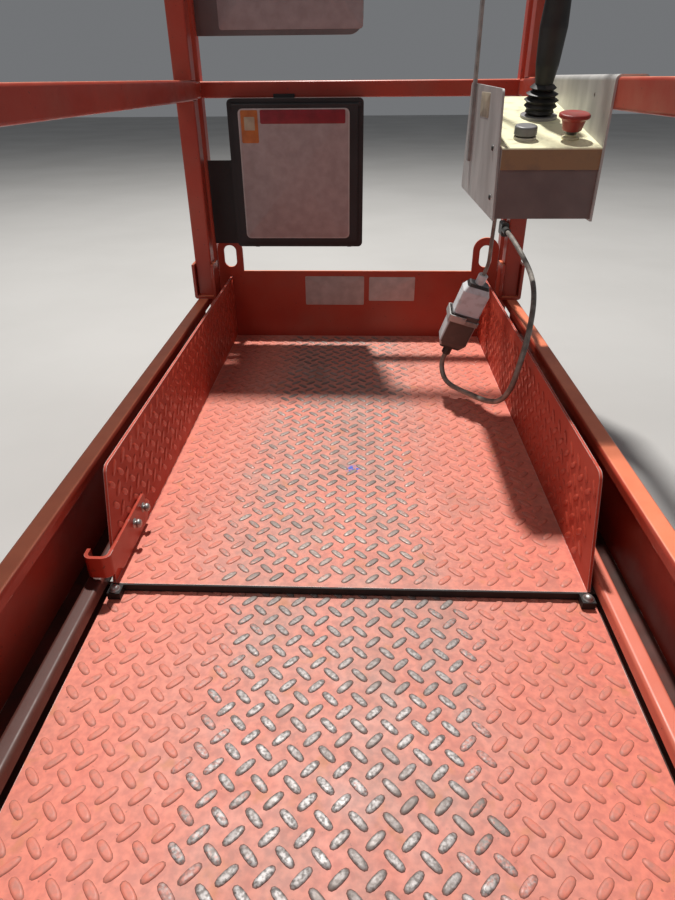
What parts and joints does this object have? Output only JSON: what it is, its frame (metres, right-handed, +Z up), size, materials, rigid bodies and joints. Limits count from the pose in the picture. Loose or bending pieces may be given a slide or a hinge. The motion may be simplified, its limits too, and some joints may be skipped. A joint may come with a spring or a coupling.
{
  "type": "scissor lift work platform",
  "caption": "Work platform of a scissor lift: checker-plate tray with tubular guardrails, roll-out deck extension, entry gate and control box.",
  "frame": {"origin": "middle of the platform's footprint, on the plane of its underside channels", "axes": "+Z up, +Y forward along the way the deck extension rolls out, +X to the right of someone facing forward"},
  "size_m": [0.781, 1.669, 1.181],
  "materials": {
    "red_paint": "salmon-red enamel, scuffed along its edges",
    "checker_plate": "red enamel worn to bright steel on the lugs",
    "bare_steel": "zinc-plated steel",
    "wear_plastic": "black wear strip",
    "box_steel": "grey sheet steel, rubbed",
    "control_panel": "cream enamel, rubbed",
    "stop_red": "moulded red",
    "knob_grey": "moulded grey",
    "black_rubber": "ribbed bellows",
    "grip_black": "moulded grip",
    "cable_sheath": "grey-brown rubber sheath",
    "gland_metal": "plated gland and outlet",
    "connector_grey": "light grey moulded housing",
    "notice_white": "blank pale enamel",
    "holder_plastic": "dark grained plastic"
  },
  "bodies": {
    "platform": {"slide_channel_left": "red_paint", "slide_channel_right": "red_paint", "cross_members": "red_paint", "pivot_plates": "red_paint", "tray_floor": "red_paint", "side_wall_left": "red_paint", "side_wall_right": "red_paint", "slide_track_left": "red_paint", "slide_track_right": "red_paint", "main_deck": "checker_plate", "front_wear_strip": "wear_plastic", "side_rails_left": "red_paint", "side_rails_right": "red_paint", "front_post_left": "red_paint", "front_post_right": "red_paint", "rear_post_left": "red_paint", "rear_post_right": "red_paint", "front_post_bracket_left": "red_paint", "front_post_bracket_right": "red_paint", "rear_post_bracket_left": "red_paint", "rear_post_bracket_right": "red_paint", "sill": "red_paint", "latch_post": "red_paint", "rear_rails": "red_paint", "rear_kick_plate": "red_paint", "post_hinge_leaves": "bare_steel", "control_case": "box_steel", "control_panel": "control_panel", "guard_plate_left": "box_steel", "guard_plate_right": "box_steel", "box_hanger": "box_steel", "stop_button": "stop_red", "selector_knob": "knob_grey", "joystick_boot": "black_rubber", "joystick_grip": "grip_black", "platform_cable": "cable_sheath", "box_pigtail": "cable_sheath", "cord_glands": "gland_metal", "connector_lower": "connector_grey", "connector_upper": "connector_grey", "connector_lever": "connector_grey"},
    "extension": {"extension_deck": "checker_plate", "rear_wear_strip": "wear_plastic", "runner_left": "red_paint", "runner_right": "red_paint", "runner_pads": "wear_plastic", "toe_board": "red_paint", "extension_rails_left": "red_paint", "extension_rails_right": "red_paint", "extension_post_left": "red_paint", "extension_post_right": "red_paint", "front_rails": "red_paint", "stop_hook": "red_paint", "notice_plate": "notice_white", "manual_holder": "holder_plastic"},
    "gate": {"gate_stiles": "red_paint", "gate_rails": "red_paint", "gate_kick_plate": "red_paint", "gate_hinge_leaves": "bare_steel"},
    "manual_lid": {"manual_lid": "holder_plastic"}
  },
  "joints": [
    {"name": "extension_slide", "type": "slide", "parent": "platform", "child": "extension", "axis": [0, 1, 0], "range_m": [0, 0.85]},
    {"name": "gate_hinge", "type": "hinge", "parent": "platform", "child": "gate", "pos_m": [0.3375, -0.7875, 0.6], "axis": [0, 0, -1], "range_deg": [0, 90]},
    {"name": "lid_hinge", "type": "hinge", "parent": "extension", "child": "manual_lid", "pos_m": [-0.1355, 0.7605, 0.62], "axis": [-1, 0, 0], "range_deg": [0, 80]}
  ]
}
